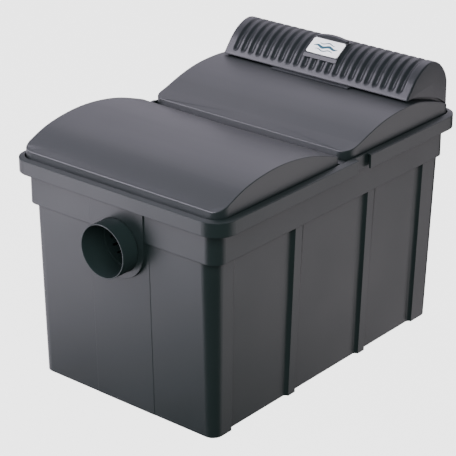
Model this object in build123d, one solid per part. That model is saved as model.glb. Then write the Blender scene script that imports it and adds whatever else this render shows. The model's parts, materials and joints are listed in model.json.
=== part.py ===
from build123d import *
import math
import os

# Pond filter box: drafted tub with three chambers, two lift-off lids and a UV-C unit under a hood.
# Millimetres. Z is up, the outlet pipe points along -Y, and the origin is under the tub's centre.

# Tub
WALL = 4.0
FOOT_HALF_X = 220.0
FOOT_HALF_Y = 358.8
FOOT_RADIUS = 22.0
CORE_FOOT_RADIUS = 36.0
BAND_BOTTOM = 372.4
TOP_HALF_X = 232.0
TOP_HALF_Y = 368.0
TOP_RADIUS = 30.0
CORE_TOP_RADIUS = 46.0
POST_DEPTH = 24.0
BAND_HALF_X = 245.0
BAND_HALF_Y = 373.4
BAND_RADIUS = 28.0
RIB_FOOT_X = 228.0
RIB_TOP_X = 240.0
FRONT_POST_TOP_X = 233.0
POST_FOOT_FLARE = 8.0
POST_TOP_FLARE = 17.0
FRONT_POST_EDGE_Y = -308.0
REAR_POST_EDGE_Y = 297.5
RIB_CENTRES_Y = (-120.5, 114.5)
RIB_FACE = 22.0
RIB_HOLLOW = 14.0

# Rim
LIP_BOTTOM = 437.4
RIM_TOP = 469.0
RIM_HALF_X = 268.2
RIM_HALF_Y = 390.8
RIM_RADIUS = 45.0
RIM_EDGE_R = 3.6
SEAT_TOP = 456.0
SEAT_WALL = 3.0
SEAT_HALF_X = 255.8
SEAT_HALF_Y = 380.3
SEAT_RADIUS = 34.0
NOTCH_Y = (29.5, 69.5)

# Outlet
OUTLET_R = 55.0
OUTLET_NECK_R = 54.0
OUTLET_BORE_R = 51.8
OUTLET_Z = 349.1
OUTLET_END_Y = -416.4
OUTLET_INNER_Y = -342.0
BOSS_R = 68.0
BOSS_FACE_Y = -376.0
PANEL_HALF_X = 75.0
PANEL_RISE = 0.5

# Lids
LID_HALF_X = 253.3
LID_END_Y = 377.8
LID_SKIN = 3.5
LID_CORNER = 32.0
LID_INNER_CORNER = 8.0
LID_ROOM = 120.0
FRONT_LID_REAR_Y = -15.0
REAR_LID_FRONT_Y = 7.4
FRONT_LID_TOP = [(-377.8, 479.0), (-355.0, 488.0), (-330.0, 499.0), (-305.0, 508.2), (-280.0, 514.3),
                 (-250.0, 519.2), (-215.0, 522.2), (-180.0, 522.1), (-150.0, 519.6), (-120.0, 515.2),
                 (-90.0, 508.7), (-60.0, 499.6), (-35.0, 491.0), (-15.0, 483.6)]
REAR_LID_TOP = [(7.4, 481.0), (30.0, 486.0), (52.0, 491.6), (72.0, 498.3), (95.0, 505.6), (125.0, 513.4),
                (160.0, 519.3), (195.0, 521.8), (228.0, 522.0), (260.0, 518.7), (295.0, 509.8),
                (330.0, 499.1), (358.0, 487.5), (377.8, 478.5)]
BAR_Y = (-13.0, 5.4)
BAR_FOOT_REACH = 16.0

# Hood
HOOD_HALF_X = 240.5
HOOD_SKIN = 5.5
HOOD_NECK_INSET = 6.0
HOOD_NECK_SKIN = 3.0
HOOD_GAP = 6.3
HOOD_REAR_Y = 374.5
HOOD_TOP = [(229.0, 527.0), (236.0, 536.0), (244.0, 546.0), (253.0, 557.0), (264.0, 567.5), (277.0, 576.5),
            (292.0, 583.5), (306.0, 587.0), (318.0, 587.0), (331.0, 583.0), (343.0, 576.5), (354.0, 567.0),
            (363.0, 556.0), (369.0, 545.0), (373.5, 531.0)]
LID_AT_HOOD_FRONT = 522.0
LID_AT_HOOD_REAR = 480.0
GROOVE_COUNT = 22
GROOVE_PITCH = 20.4
GROOVE_R = 5.8
GROOVE_RISE = 2.0
GROOVE_SHORT = (9, 10, 11, 12)
GROOVE_SPAN = (0.072, 0.86)
GROOVE_SHORT_SPAN = (0.072, 0.15)
PATH_STEPS = 12
BADGE_HALF_X = 43.5
BADGE_LOW = (255.5, 563.6)
BADGE_HIGH = (293.8, 588.4)
BADGE_TOE = (250.5, 556.5)
BADGE_BACK = (306.0, 587.5)
BADGE_ROOT = (258.0, 550.0)
BADGE_LUG_HALF_X = 38.0
BADGE_LUG_TOP = 596.8
BADGE_LUG_DROP = 5.0
BADGE_LUG_END_Y = 304.0
LABEL_HALF_X = 40.5
LABEL_HEIGHT = 40.5
LABEL_SKIN = 1.2
LABEL_CORNER = 5.0
TAB_HALF_X = 100.0
TAB_Y = (217.0, 227.0)
TAB_RISE = 3.5

# UV-C unit
UVC_Y = 290.0
UVC_Z = 531.0
UVC_R = 31.0
UVC_WALL = 3.0
UVC_LEFT_X = -190.0
UVC_RIGHT_X = 170.0
TROUGH_X = (-215.0, 232.0)
TROUGH_Y = (242.0, 364.0)
TROUGH_FLOOR = 484.0
TROUGH_SKIN = 3.0
INLET_X = -150.0
INLET_Z = 511.0
INLET_R = 16.0
INLET_BORE_R = 13.0
HOSE_TAIL_END_Y = 404.0
HOSE_BARBS_Y = (380.0, 388.0, 396.0)
SPOUT_X = 136.0
SPOUT_R = 18.0
SPOUT_BORE_R = 15.0
SPOUT_BOTTOM = 430.0
CLAMP_X = (-95.0, 95.0)
CLAMP_SCREW_REACH = 41.0
BALLAST_HALF_X = 78.0
BALLAST_Y = (243.5, 258.5)
BALLAST_HEIGHT = 36.0

# Chambers
PARTITION_SKIN = 6.0
PARTITION_FOOT_X = 221.0
PARTITION_HEAD_X = 231.5
REAR_PARTITION_TOP = 416.0
FRONT_PARTITION_TOP = 376.0
REAR_SLOT_ROWS = (72, 150, 228)
FRONT_SLOT_ROWS = (110, 188, 266)
RAIL_Y = (-37.0, 37.0)
RAIL_HEIGHT = 340.0
FOAM_HALF_X = 208.0
FOAM_Z = (8.0, 362.0)
FOAM_RANGES_Y = {"foam_coarse": (40.0, 110.0), "foam_medium": (-34.0, 34.0), "foam_fine": (-110.0, -40.0)}
MEDIA_Y = (-343.0, -137.0)
BRUSH_ROWS_Y = (180.0, 284.0)
BRUSH_COLUMNS = 4
BRUSH_PITCH = 106.0
BRUSH_R = 48.0
HANGER_HALF_X = 238.0
HANGER_R = 5.0
HANGER_Z = BAND_BOTTOM + WALL + HANGER_R + 0.1

# Drain
DRAIN_X = -120.0
DRAIN_Z = 48.0
DRAIN_R = 24.0
DRAIN_BORE_R = 20.0
DRAIN_WALL_Y = FOOT_HALF_Y + 2.2

GAP = 0.3


def plan(z, half_x, half_y, radius):
    """Rounded rectangle at height z."""
    return Pos(0, 0, z) * RectangleRounded(2 * half_x, 2 * half_y, radius)


def ruled(*sections):
    """Straight-sided solid through flat sections."""
    return loft(Sketch() + list(sections), ruled=True)


def block(x, y, z):
    """Box from three (low, high) pairs."""
    size = Box(x[1] - x[0], y[1] - y[0], z[1] - z[0])
    return Pos((x[0] + x[1]) / 2, (y[0] + y[1]) / 2, (z[0] + z[1]) / 2) * size


def rod(start, direction, radius, length):
    """Cylinder from a point along a direction."""
    return extrude(Plane(origin=start, z_dir=direction) * Circle(radius), length)


def tube(start, direction, radius, bore, length):
    """Round tube from a point along a direction."""
    section = Circle(radius) - Circle(bore)
    return extrude(Plane(origin=start, z_dir=direction) * section, length)


def both_sides(shape):
    """A shape and its mirror image across the YZ plane."""
    return shape + mirror(shape, about=Plane.YZ)


def flare(wall_x, face_x, wall_y, face_y, z):
    """Concave arc from the wall, tangent to it, out to a sharp edge."""
    depth = face_x - wall_x
    width = abs(face_y - wall_y)
    radius = (depth ** 2 + width ** 2) / (2 * depth)
    half = math.asin(width / radius) / 2
    step = math.copysign(radius * math.sin(half), face_y - wall_y)
    middle = (wall_x + radius * (1 - math.cos(half)), wall_y + step, z)
    return ThreePointArc((wall_x, wall_y, z), middle, (face_x, face_y, z))


def rib_section(z, wall_x, face_x, centre_y, width):
    """Side rib's outline at one height."""
    low = centre_y - RIB_FACE / 2
    high = centre_y + RIB_FACE / 2
    back = wall_x - WALL / 2
    edges = [
        Line((back, low - width, z), (wall_x, low - width, z)),
        flare(wall_x, face_x, low - width, low, z),
        Line((face_x, low, z), (face_x, high, z)),
        flare(wall_x, face_x, high + width, high, z),
        Line((wall_x, high + width, z), (back, high + width, z)),
        Line((back, high + width, z), (back, low - width, z)),
    ]
    return make_face(Curve() + edges)


def post_section(z, wall_x, face_x, end_y, edge_y, width, radius):
    """Corner post's outline at one height. The corner is at end_y, the inner edge at edge_y."""
    toward = math.copysign(1, end_y)
    back = face_x - radius - POST_DEPTH
    turn = radius * (1 - math.sqrt(0.5))
    edges = [
        Line((back, end_y, z), (face_x - radius, end_y, z)),
        ThreePointArc((face_x - radius, end_y, z), (face_x - turn, end_y - toward * turn, z),
                      (face_x, end_y - toward * radius, z)),
        Line((face_x, end_y - toward * radius, z), (face_x, edge_y, z)),
        flare(wall_x, face_x, edge_y - toward * width, edge_y, z),
        Line((wall_x, edge_y - toward * width, z), (back, edge_y - toward * width, z)),
        Line((back, edge_y - toward * width, z), (back, end_y, z)),
    ]
    return make_face(Curve() + edges)


def side_ribs():
    """Two hollow ribs and two corner posts on each side wall."""
    solids = Part()
    for y in RIB_CENTRES_Y:
        solids += ruled(rib_section(0, FOOT_HALF_X, RIB_FOOT_X, y, POST_FOOT_FLARE),
                        rib_section(BAND_BOTTOM, TOP_HALF_X, RIB_TOP_X, y, POST_TOP_FLARE))
    solids += ruled(post_section(0, FOOT_HALF_X, RIB_FOOT_X, -FOOT_HALF_Y, FRONT_POST_EDGE_Y,
                                 POST_FOOT_FLARE, FOOT_RADIUS),
                    post_section(BAND_BOTTOM, TOP_HALF_X, FRONT_POST_TOP_X, -TOP_HALF_Y,
                                 FRONT_POST_EDGE_Y, POST_FOOT_FLARE / 2, TOP_RADIUS))
    solids += ruled(post_section(0, FOOT_HALF_X, RIB_FOOT_X, FOOT_HALF_Y, REAR_POST_EDGE_Y,
                                 POST_FOOT_FLARE, FOOT_RADIUS),
                    post_section(BAND_BOTTOM, TOP_HALF_X, RIB_TOP_X, TOP_HALF_Y, REAR_POST_EDGE_Y,
                                 POST_TOP_FLARE, TOP_RADIUS))
    return both_sides(solids)


def rib_hollows():
    """Grooves inside the ribs, which guide the partitions' edges."""
    solids = Part()
    for y in RIB_CENTRES_Y:
        low = Pos(0, y, WALL) * Rectangle(2 * (RIB_FOOT_X - WALL), RIB_HOLLOW)
        high = Pos(0, y, BAND_BOTTOM + WALL) * Rectangle(2 * (RIB_TOP_X - WALL), RIB_HOLLOW)
        solids += ruled(low, high)
    return solids


def ring(z, thick, outer, inner):
    """Level band between two rounded rectangles, each (half_x, half_y, radius)."""
    return extrude(plan(z, *outer) - plan(z, *inner), thick)


def grow(level, step):
    """A rounded rectangle moved outward by a step."""
    return tuple(value + step for value in level)


def rim():
    """Hanging lip, top plate and the seat that the lids rest on."""
    outer = (RIM_HALF_X, RIM_HALF_Y, RIM_RADIUS)
    seat = (SEAT_HALF_X, SEAT_HALF_Y, SEAT_RADIUS)
    seat_back = grow(seat, SEAT_WALL)
    band_inner = (BAND_HALF_X - WALL, BAND_HALF_Y - WALL, BAND_RADIUS - WALL)
    cap = extrude(plan(LIP_BOTTOM, *outer), RIM_TOP - LIP_BOTTOM)
    cap = fillet(cap.faces().sort_by(Axis.Z)[-1].edges(), RIM_EDGE_R)
    under = extrude(plan(LIP_BOTTOM, *grow(outer, -WALL)), RIM_TOP - LIP_BOTTOM - WALL)
    solid = cap - under
    solid += ring(LIP_BOTTOM, RIM_TOP - LIP_BOTTOM, seat_back, seat)
    solid -= extrude(plan(LIP_BOTTOM, *seat), RIM_TOP)
    solid += ring(LIP_BOTTOM, WALL, seat_back, band_inner)
    solid += ring(SEAT_TOP - WALL, WALL, seat_back, band_inner)
    notch = block((SEAT_HALF_X + SEAT_WALL, RIM_HALF_X + WALL), NOTCH_Y, (LIP_BOTTOM, RIM_TOP + WALL))
    return solid - both_sides(notch)


def outlet_boss_outline(radius):
    """Arched outline that runs up under the lip."""
    rise = LIP_BOTTOM - OUTLET_Z
    return Circle(radius) + Pos(0, rise / 2) * Rectangle(2 * radius, rise)


def tub():
    """The whole moulded tub."""
    solid = ruled(plan(0, FOOT_HALF_X, FOOT_HALF_Y, CORE_FOOT_RADIUS),
                  plan(BAND_BOTTOM, TOP_HALF_X, TOP_HALF_Y, CORE_TOP_RADIUS))
    solid += side_ribs()
    solid += extrude(plan(BAND_BOTTOM, BAND_HALF_X, BAND_HALF_Y, BAND_RADIUS), SEAT_TOP - BAND_BOTTOM)
    front = Plane(origin=(0, BOSS_FACE_Y, OUTLET_Z), x_dir=(1, 0, 0), z_dir=(0, -1, 0))
    boss_back = abs(BOSS_FACE_Y) - FOOT_HALF_Y
    solid += extrude(front * outlet_boss_outline(BOSS_R), -boss_back)
    depth = 2 * WALL
    panel_low = Pos(0, -FOOT_HALF_Y - PANEL_RISE + depth / 2, 0) * Rectangle(2 * PANEL_HALF_X, depth)
    panel_high = Pos(0, -TOP_HALF_Y - PANEL_RISE + depth / 2, BAND_BOTTOM)
    solid += ruled(panel_low, panel_high * Rectangle(2 * PANEL_HALF_X, depth))
    solid -= ruled(plan(WALL, FOOT_HALF_X - WALL, FOOT_HALF_Y - WALL, FOOT_RADIUS - WALL),
                   plan(BAND_BOTTOM + WALL, TOP_HALF_X - WALL, TOP_HALF_Y - WALL, TOP_RADIUS - WALL))
    solid -= rib_hollows()
    solid -= extrude(plan(BAND_BOTTOM + WALL, BAND_HALF_X - WALL, BAND_HALF_Y - WALL, BAND_RADIUS - WALL),
                     RIM_TOP - BAND_BOTTOM)
    inside = Plane(origin=(0, BOSS_FACE_Y + WALL, OUTLET_Z), x_dir=(1, 0, 0), z_dir=(0, -1, 0))
    solid -= extrude(inside * outlet_boss_outline(BOSS_R - WALL), -boss_back)
    solid += rim()
    solid -= rod((0, BOSS_FACE_Y - WALL, OUTLET_Z), (0, 1, 0), OUTLET_R + GAP, 3 * WALL)
    solid -= rod((DRAIN_X, FOOT_HALF_Y - 3 * WALL, DRAIN_Z), (0, 1, 0), DRAIN_R + GAP, 6 * WALL)
    return solid


def outlet_parts():
    """Spigot, its seal and the slotted screen on its inner end."""
    axis = (0, 1, 0)
    inner_face = BOSS_FACE_Y + WALL
    seal_skin = 4.0
    collar_r = OUTLET_R + 8
    neck_y = BOSS_FACE_Y - 0.5
    pipe = tube((0, OUTLET_END_Y, OUTLET_Z), axis, OUTLET_R, OUTLET_BORE_R, neck_y - OUTLET_END_Y)
    pipe += tube((0, neck_y, OUTLET_Z), axis, OUTLET_NECK_R, OUTLET_BORE_R, OUTLET_INNER_Y - neck_y)
    pipe += tube((0, inner_face + seal_skin, OUTLET_Z), axis, collar_r, OUTLET_BORE_R, WALL)
    seal = tube((0, inner_face, OUTLET_Z), axis, collar_r, OUTLET_NECK_R + 0.1, seal_skin)
    screen_length = 42.0
    screen_r = OUTLET_BORE_R - 0.2
    screen_skin = 2.5
    start = (0, OUTLET_INNER_Y - 14, OUTLET_Z)
    screen = tube(start, axis, screen_r, screen_r - screen_skin, screen_length)
    screen += rod((0, start[1] + screen_length, OUTLET_Z), axis, screen_r, screen_skin)
    slot_length = 22.0
    for turn in range(0, 180, 20):
        slot = block((-2, 2), (OUTLET_INNER_Y + 2, OUTLET_INNER_Y + 2 + slot_length),
                     (-2 * screen_r, 2 * screen_r))
        screen -= Pos(0, 0, OUTLET_Z) * Rot(0, turn, 0) * slot
    for row in range(-3, 4):
        screen -= Pos(row * 12, start[1] + screen_length, OUTLET_Z) * Box(4, 4 * screen_skin, 60)
    return {"outlet_pipe": pipe, "outlet_seal": seal, "outlet_screen": screen}


def partition(centre_y, top, rows):
    """Slotted plate whose edges run in the rib hollows."""
    foot = PARTITION_FOOT_X
    slope = (PARTITION_HEAD_X - foot) / BAND_BOTTOM
    bottom = WALL + GAP
    outline = make_face(Polyline((-foot, bottom), (foot, bottom), (foot + slope * top, top),
                                 (-foot - slope * top, top), close=True))
    face = Plane(origin=(0, centre_y - PARTITION_SKIN / 2, 0), x_dir=(1, 0, 0), z_dir=(0, -1, 0))
    solid = extrude(face * outline, -PARTITION_SKIN)
    slot_height = 56.0
    slot = SlotOverall(slot_height, 10, rotation=90)
    for z in rows:
        for column in range(-5, 6):
            cut = extrude(face * Pos(column * 36, z) * slot, PARTITION_SKIN * 2, both=True)
            solid -= cut
    return solid


def foam_rails():
    """Upright rails on both side walls that part the foams."""
    solids = Part()
    reach = 16.0
    for y in RAIL_Y:
        low_x = FOOT_HALF_X - WALL - GAP
        high_x = low_x + (TOP_HALF_X - FOOT_HALF_X) * RAIL_HEIGHT / BAND_BOTTOM
        low = Pos(low_x - reach / 2, y, WALL + GAP) * Rectangle(reach, WALL)
        high = Pos(high_x - reach / 2, y, WALL + RAIL_HEIGHT) * Rectangle(reach, WALL)
        solids += ruled(low, high)
    return both_sides(solids)


def foams():
    """Three filter foams that stand across the flow."""
    across_x = (-FOAM_HALF_X, FOAM_HALF_X)
    return {name: block(across_x, y, FOAM_Z) for name, y in FOAM_RANGES_Y.items()}


def media_parts():
    """Raised grid in the front chamber and four net bags of media on it."""
    top = 46.0
    grid = block((-206, 206), MEDIA_Y, (top - 6, top))
    for column in range(-7, 8):
        for y in (-292, -188):
            grid -= Pos(column * 26, y, top) * Box(12, 84, 24)
    for x in (-196, 0, 196):
        for y in (MEDIA_Y[0] + 6, -240, MEDIA_Y[1] - 6):
            grid += rod((x, y, WALL + GAP), (0, 0, 1), 5, top - WALL - GAP - 3)
    bags = Part()
    for x in (-103, 103):
        for z in (top + 49, top + 147):
            bags += Pos(x, -240, z) * fillet(Box(196, 202, 96).edges(), 22)
    return {"media_grid": grid, "media_bags": bags}


def brush_parts():
    """Two rows of hanging brushes on two bars."""
    bars = Part()
    rods = Part()
    bristles = Part()
    eye_r = 9.0
    wire_r = 2.5
    eye_z = HANGER_Z - (eye_r - wire_r - HANGER_R) + 0.1
    low = 62.0
    for y in BRUSH_ROWS_Y:
        bars += rod((-HANGER_HALF_X, y, HANGER_Z), (1, 0, 0), HANGER_R, 2 * HANGER_HALF_X)
        for column in range(BRUSH_COLUMNS):
            x = (column - (BRUSH_COLUMNS - 1) / 2) * BRUSH_PITCH
            eye = Pos(x, y, eye_z) * Rot(0, 90, 0) * Torus(eye_r, wire_r)
            rods += eye + rod((x, y, low), (0, 0, 1), wire_r, eye_z - eye_r - low)
            bristles += tube((x, y, low + 8), (0, 0, 1), BRUSH_R, wire_r + 0.1, 270)
    return {"brush_hangers": bars, "brush_rods": rods, "brush_bristles": bristles}


def drain_parts():
    """Sludge drain through the rear wall."""
    axis = (0, 1, 0)
    gasket_skin = 3.0
    stub = tube((DRAIN_X, FOOT_HALF_Y - 20, DRAIN_Z), axis, DRAIN_R, DRAIN_BORE_R, 72)
    stub += extrude(Plane(origin=(DRAIN_X, DRAIN_WALL_Y + gasket_skin, DRAIN_Z), z_dir=axis)
                    * (RegularPolygon(36, 6) - Circle(DRAIN_BORE_R)), 6)
    gasket = tube((DRAIN_X, DRAIN_WALL_Y, DRAIN_Z), axis, 32, DRAIN_R + 0.1, gasket_skin)
    nut_face = Plane(origin=(DRAIN_X, FOOT_HALF_Y - 14, DRAIN_Z), z_dir=axis)
    nut = extrude(nut_face * (RegularPolygon(35, 6) - Circle(DRAIN_R + 0.1)), 9)
    cap_r = 31.0
    cap_start = FOOT_HALF_Y + 27
    cap_length = 30.0
    cap = rod((DRAIN_X, cap_start, DRAIN_Z), axis, cap_r, cap_length)
    cap -= rod((DRAIN_X, cap_start - 1, DRAIN_Z), axis, DRAIN_R + GAP, cap_length - 3)
    for step in range(12):
        angle = math.radians(step * 30)
        x = DRAIN_X + (cap_r + 3) * math.cos(angle)
        z = DRAIN_Z + (cap_r + 3) * math.sin(angle)
        cap -= rod((x, cap_start - 1, z), axis, 5, cap_length + 2)
    return {"drain_stub": stub, "drain_gasket": gasket, "drain_lock_nut": nut, "drain_cap": cap}


def profile(points, base, drop=0.0):
    """Closed outline in the YZ plane: a smooth top over a straight base."""
    lowered = [(0, y, z - drop) for y, z in points]
    first = (0, points[0][0], base)
    last = (0, points[-1][0], base)
    edges = [Spline(lowered), Line(lowered[-1], last), Line(last, first), Line(first, lowered[0])]
    return make_face(Curve() + edges)


def across(face, half_x):
    """A YZ outline extruded to both sides."""
    return extrude(face, half_x, dir=(1, 0, 0), both=True)


def lid_plan(half_x, low_y, high_y, low_radius, high_radius, height):
    """Upright prism with its own corner radius at each end."""
    prism = block((-half_x, half_x), (low_y, high_y), (SEAT_TOP - 1, SEAT_TOP + height))
    upright = prism.edges().filter_by(Axis.Z)
    prism = fillet(upright.group_by(Axis.Y)[0], low_radius)
    upright = prism.edges().filter_by(Axis.Z)
    return fillet(upright.group_by(Axis.Y)[-1], high_radius)


def lid_shell(points, low_y, high_y, low_radius, high_radius):
    """Arched lid with upright skirts, open underneath."""
    outer = across(profile(points, SEAT_TOP), LID_HALF_X)
    outer &= lid_plan(LID_HALF_X, low_y, high_y, low_radius, high_radius, LID_ROOM)
    inner = across(profile(points, SEAT_TOP - 1, LID_SKIN), LID_HALF_X)
    inner &= lid_plan(LID_HALF_X - LID_SKIN, low_y + LID_SKIN, high_y - LID_SKIN,
                      low_radius - LID_SKIN, high_radius - LID_SKIN, LID_ROOM)
    return outer, inner


def lid_support_bar():
    """Bar across the rim, under the meeting edges of the lids."""
    half_x = BAND_HALF_X - WALL - GAP
    foot_y = (BAR_Y[0] - BAR_FOOT_REACH, BAR_Y[1] + BAR_FOOT_REACH)
    solid = block((-SEAT_HALF_X + GAP, SEAT_HALF_X - GAP), BAR_Y, (SEAT_TOP, RIM_TOP - 1))
    foot = block((-half_x, half_x), foot_y, (SEAT_TOP - 4 * WALL, SEAT_TOP))
    hollow = block((WALL - half_x, half_x - WALL), (foot_y[0] + WALL, foot_y[1] - WALL),
                   (SEAT_TOP - 5 * WALL, SEAT_TOP - WALL))
    return solid + (foot - hollow)


def front_lid():
    """Lid over the front and middle chambers."""
    outer, inner = lid_shell(FRONT_LID_TOP, -LID_END_Y, FRONT_LID_REAR_Y, LID_CORNER, LID_INNER_CORNER)
    return outer - inner


def rear_lid():
    """Lid over the rear chamber, with a trough for the UV-C unit."""
    outer, inner = lid_shell(REAR_LID_TOP, REAR_LID_FRONT_Y, LID_END_Y, LID_CORNER, LID_CORNER)
    solid = outer - inner
    skin = TROUGH_SKIN
    sunk = block((TROUGH_X[0] - skin, TROUGH_X[1] + skin), (TROUGH_Y[0] - skin, TROUGH_Y[1] + skin),
                 (TROUGH_FLOOR - skin, SEAT_TOP + LID_ROOM))
    solid += outer & sunk
    solid -= block(TROUGH_X, TROUGH_Y, (TROUGH_FLOOR, SEAT_TOP + LID_ROOM))
    solid -= rod((SPOUT_X, UVC_Y, TROUGH_FLOOR - 10), (0, 0, 1), SPOUT_R + GAP, 20)
    for x, y in screw_places():
        solid -= rod((x, y, TROUGH_FLOOR - 10), (0, 0, 1), 2.2, 20)
    return solid


def uvc_parts():
    """Flow-through canister, lamp and end fittings, all along X."""
    axis = (1, 0, 0)
    start = (UVC_LEFT_X, UVC_Y, UVC_Z)
    length = UVC_RIGHT_X - UVC_LEFT_X
    flange_r = UVC_R + 5
    body = rod(start, axis, UVC_R, length)
    body += rod((UVC_RIGHT_X - 8, UVC_Y, UVC_Z), axis, flange_r, 8)
    body += rod((INLET_X, UVC_Y, INLET_Z), (0, 1, 0), INLET_R, 62)
    body += rod((INLET_X, UVC_Y + 46, INLET_Z), (0, 1, 0), INLET_R + 3, 16)
    body -= rod((UVC_LEFT_X + UVC_WALL, UVC_Y, UVC_Z), axis, UVC_R - UVC_WALL, length)
    body -= rod((INLET_X, UVC_Y, INLET_Z), (0, 1, 0), INLET_BORE_R, 63)
    body -= rod((SPOUT_X, UVC_Y, UVC_Z - 40), (0, 0, 1), SPOUT_R + GAP, 30)
    ring_skin = 2.5
    o_ring = tube((UVC_RIGHT_X, UVC_Y, UVC_Z), axis, UVC_R, UVC_R - 3, ring_skin)
    cap_start = (UVC_RIGHT_X + ring_skin, UVC_Y, UVC_Z)
    cap = rod(cap_start, axis, flange_r, 20)
    cap -= rod(cap_start, axis, 14.2, 12)
    cap -= rod(cap_start, axis, 6.5, 30)
    for step in range(18):
        angle = math.radians(step * 20)
        y = UVC_Y + (flange_r + 1) * math.cos(angle)
        z = UVC_Z + (flange_r + 1) * math.sin(angle)
        cap -= rod((cap_start[0] - 1, y, z), axis, 2.5, 22)
    sleeve = tube((UVC_LEFT_X + 20, UVC_Y, UVC_Z), axis, 14, 12.4, 352)
    sleeve += rod((UVC_LEFT_X + 18.4, UVC_Y, UVC_Z), axis, 14, 1.6)
    lamp = Part()
    for shift in (-6, 6):
        lamp += rod((UVC_LEFT_X + 34, UVC_Y, UVC_Z + shift), axis, 5, 300)
    lamp += block((UVC_LEFT_X + 34, UVC_LEFT_X + 40), (UVC_Y - 3, UVC_Y + 3), (UVC_Z - 6, UVC_Z + 6))
    lamp += rod((UVC_LEFT_X + 330, UVC_Y, UVC_Z), axis, 12, 16)
    holder = rod((UVC_LEFT_X + 346, UVC_Y, UVC_Z), axis, 12, 24)
    gland = rod((cap_start[0] + 20, UVC_Y, UVC_Z), axis, 11, 5)
    gland += rod((cap_start[0] + 25, UVC_Y, UVC_Z), axis, 9, 14)
    gland += rod((cap_start[0] + 12, UVC_Y, UVC_Z), axis, 6.3, 8)
    gland -= rod((cap_start[0] + 11, UVC_Y, UVC_Z), axis, 3.5, 30)
    return {"uvc_canister": body, "uvc_o_ring": o_ring, "uvc_end_cap": cap, "quartz_sleeve": sleeve,
            "uvc_lamp": lamp, "lamp_holder": holder, "cable_gland": gland}


def screw_places():
    """Centres of the clamp screws."""
    return [(x, UVC_Y + side * CLAMP_SCREW_REACH) for x in CLAMP_X for side in (-1, 1)]


def clamp_parts():
    """Two saddle clamps and their screws."""
    clamps = Part()
    for x in CLAMP_X:
        clamp = tube((x - 10, UVC_Y, UVC_Z), (1, 0, 0), UVC_R + 4, UVC_R + 0.1, 20)
        clamp += block((x - 10, x + 10), (UVC_Y - 47, UVC_Y + 47), (TROUGH_FLOOR, TROUGH_FLOOR + 5))
        clamp += block((x - 10, x + 10), (UVC_Y - 20, UVC_Y + 20), (TROUGH_FLOOR, TROUGH_FLOOR + 24))
        clamp -= rod((x - 11, UVC_Y, UVC_Z), (1, 0, 0), UVC_R + 0.1, 22)
        clamps += clamp
    screws = Part()
    for x, y in screw_places():
        clamps -= rod((x, y, TROUGH_FLOOR - 1), (0, 0, 1), 2.2, 8)
        screw = rod((x, y, TROUGH_FLOOR - 9), (0, 0, 1), 2, 15)
        screw += rod((x, y, TROUGH_FLOOR + 5), (0, 0, 1), 4, 3)
        screw -= Pos(x, y, TROUGH_FLOOR + 8) * Box(6, 1, 2)
        screw -= Pos(x, y, TROUGH_FLOOR + 8) * Box(1, 6, 2)
        screws += screw
    return {"canister_clamps": clamps, "clamp_screws": screws}


def inlet_parts():
    """Barbed hose tail, its gasket and the union nut that draws it on."""
    axis = (0, 1, 0)
    port_end = UVC_Y + 62
    gasket_skin = 2.0
    flange_skin = 3.0
    gasket = tube((INLET_X, port_end, INLET_Z), axis, 18, INLET_BORE_R, gasket_skin)
    tail_start = port_end + gasket_skin
    tail = rod((INLET_X, tail_start, INLET_Z), axis, 18.5, flange_skin)
    tail += rod((INLET_X, tail_start, INLET_Z), axis, INLET_R - 0.5, HOSE_TAIL_END_Y - tail_start)
    for y in HOSE_BARBS_Y:
        plane = Plane(origin=(INLET_X, y, INLET_Z), z_dir=axis)
        tail += Location(plane) * Pos(0, 0, 4) * Cone(18, 15.5, 8)
    tail -= rod((INLET_X, tail_start - 1, INLET_Z), axis, INLET_BORE_R, 80)
    nut_start = UVC_Y + 48
    nut_length = 24.0
    nut_r = 26.0
    nut = rod((INLET_X, nut_start, INLET_Z), axis, nut_r, nut_length)
    nut -= rod((INLET_X, nut_start - 1, INLET_Z), axis, INLET_R + 3 + GAP, nut_length - 4)
    nut -= rod((INLET_X, nut_start - 1, INLET_Z), axis, INLET_R, nut_length + 2)
    for step in range(8):
        angle = math.radians(step * 45 + 22.5)
        x = INLET_X + (nut_r + 4) * math.cos(angle)
        z = INLET_Z + (nut_r + 4) * math.sin(angle)
        nut -= rod((x, nut_start - 1, z), axis, 6, nut_length + 2)
    return {"hose_tail": tail, "hose_tail_gasket": gasket, "union_nut": nut}


def spout_parts():
    """Spout from the canister down through the lid, and its nut."""
    down = (0, 0, 1)
    spout = rod((SPOUT_X, UVC_Y, SPOUT_BOTTOM), down, SPOUT_R, 74)
    spout += rod((SPOUT_X, UVC_Y, TROUGH_FLOOR), down, SPOUT_R + 6, 4)
    spout -= rod((SPOUT_X, UVC_Y, SPOUT_BOTTOM - 1), down, SPOUT_BORE_R, 80)
    face = Plane(origin=(SPOUT_X, UVC_Y, TROUGH_FLOOR - 12), z_dir=down)
    nut = extrude(face * (RegularPolygon(27, 6) - Circle(SPOUT_R + 0.1)), 9)
    return {"canister_outlet": spout, "outlet_lock_nut": nut}


def ballast_box():
    """Slim electronic ballast in front of the canister."""
    height = (TROUGH_FLOOR, TROUGH_FLOOR + BALLAST_HEIGHT)
    return fillet(block((-BALLAST_HALF_X, BALLAST_HALF_X), BALLAST_Y, height).edges(), 2)


def hood_profile():
    """Hood outline: smooth ridge over a bottom edge that follows the lid."""
    top = [(0, y, z) for y, z in HOOD_TOP]
    lid_points = [(y, z) for y, z in REAR_LID_TOP if HOOD_TOP[0][0] < y < HOOD_TOP[-1][0]]
    bottom = [(0, HOOD_REAR_Y, LID_AT_HOOD_REAR + HOOD_GAP)]
    bottom += [(0, y, z + HOOD_GAP) for y, z in reversed(lid_points)]
    bottom += [(0, HOOD_TOP[0][0], LID_AT_HOOD_FRONT + HOOD_GAP / 2)]
    edges = [Spline(top), Line(top[-1], bottom[0]), Spline(bottom), Line(bottom[-1], top[0])]
    return make_face(Curve() + edges)


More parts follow.
